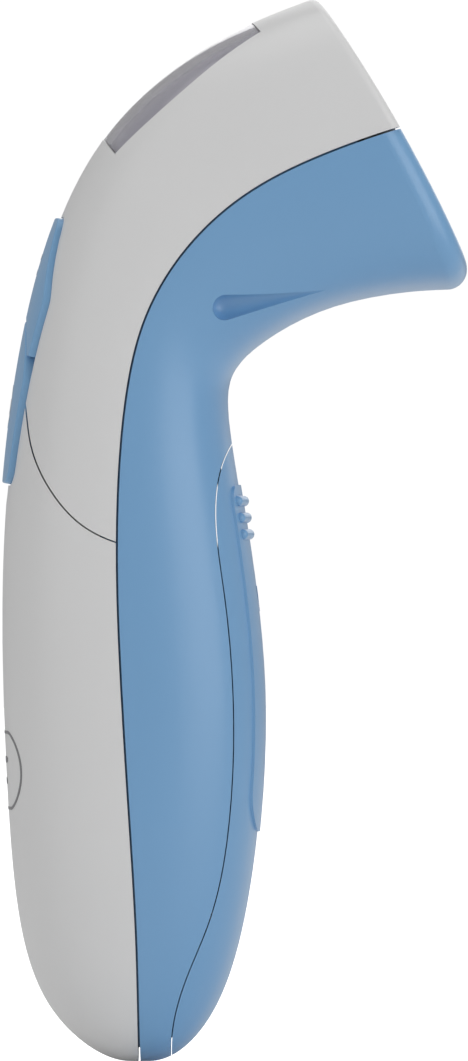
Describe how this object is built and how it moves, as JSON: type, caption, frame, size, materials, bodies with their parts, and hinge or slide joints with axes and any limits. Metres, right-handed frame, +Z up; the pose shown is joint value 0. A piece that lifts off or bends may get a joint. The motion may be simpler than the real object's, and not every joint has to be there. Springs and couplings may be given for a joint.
{
  "type": "digital infrared thermometer",
  "caption": "Hand-held infrared thermometer for babies: curved two-colour handle, wide-mouthed head, display window, two press keys and a slide-off battery door.",
  "frame": {"origin": "under the middle of the object's bounding box, at the handle's lowest point", "axes": "+Z up along the handle, +X the way the head and its sensor point, +Y across the casing's thickness"},
  "size_m": [0.0658, 0.0364, 0.1501],
  "materials": {
    "white_plastic": "satin",
    "blue_plastic": "satin",
    "key_plastic": "satin",
    "clear_window": "gloss",
    "grey_plastic": "matt",
    "lcd_glass": "gloss",
    "black_plastic": "matt",
    "diffuser": "matt",
    "connector_rubber": "matt",
    "circuit_board": "satin",
    "chip_black": "matt",
    "switch_brown": "matt",
    "screw_steel": "brushed",
    "ribbon_film": "satin",
    "ir_window": "polished",
    "can_metal": "polished",
    "contact_metal": "plated",
    "cable_insulation": "satin",
    "cell_jacket": "printed sleeve",
    "lead_red": "satin",
    "lead_black": "satin"
  },
  "bodies": {
    "casing": {"rear_cover_upper": "white_plastic", "rear_cover_lower": "white_plastic", "front_housing": "blue_plastic", "display_window": "clear_window", "front_bezel": "grey_plastic", "lcd_panel": "lcd_glass", "lcd_frame": "black_plastic", "backlight_panel": "diffuser", "lcd_connectors": "connector_rubber", "display_board": "circuit_board", "display_board_chips": "chip_black", "display_board_screws": "screw_steel", "key_board": "circuit_board", "key_board_screws": "screw_steel", "scan_switch": "chip_black", "mode_switch": "chip_black", "buzzer": "chip_black", "board_ribbon": "ribbon_film", "sensor_barrel": "black_plastic", "sensor_ir_window": "ir_window", "sensor_can": "can_metal", "sensor_pins": "contact_metal", "sensor_board": "circuit_board", "sensor_cable": "cable_insulation", "battery_tray": "black_plastic", "battery_left": "cell_jacket", "battery_right": "cell_jacket", "contact_spring_left": "contact_metal", "contact_spring_right": "contact_metal", "contact_bridge": "contact_metal", "positive_contact": "contact_metal", "negative_contact": "contact_metal", "positive_lead": "lead_red", "negative_lead": "lead_black", "case_screws": "screw_steel"},
    "scan_key": {"scan_key": "key_plastic", "scan_switch_plunger": "switch_brown"},
    "mode_key": {"mode_key": "key_plastic", "mode_switch_plunger": "switch_brown"},
    "battery_door": {"battery_door": "blue_plastic"}
  },
  "joints": [
    {"name": "scan_key_press", "type": "slide", "parent": "casing", "child": "scan_key", "axis": [0.9806, 0, -0.196], "range_m": [0, 0.0005], "stiffness_N_per_m": 800},
    {"name": "mode_key_press", "type": "slide", "parent": "casing", "child": "mode_key", "axis": [0.9806, 0, -0.196], "range_m": [0, 0.0005], "stiffness_N_per_m": 800},
    {"name": "battery_door_slide", "type": "slide", "parent": "casing", "child": "battery_door", "axis": [0.1289, 0, -0.9917], "range_m": [0, 0.095]}
  ]
}
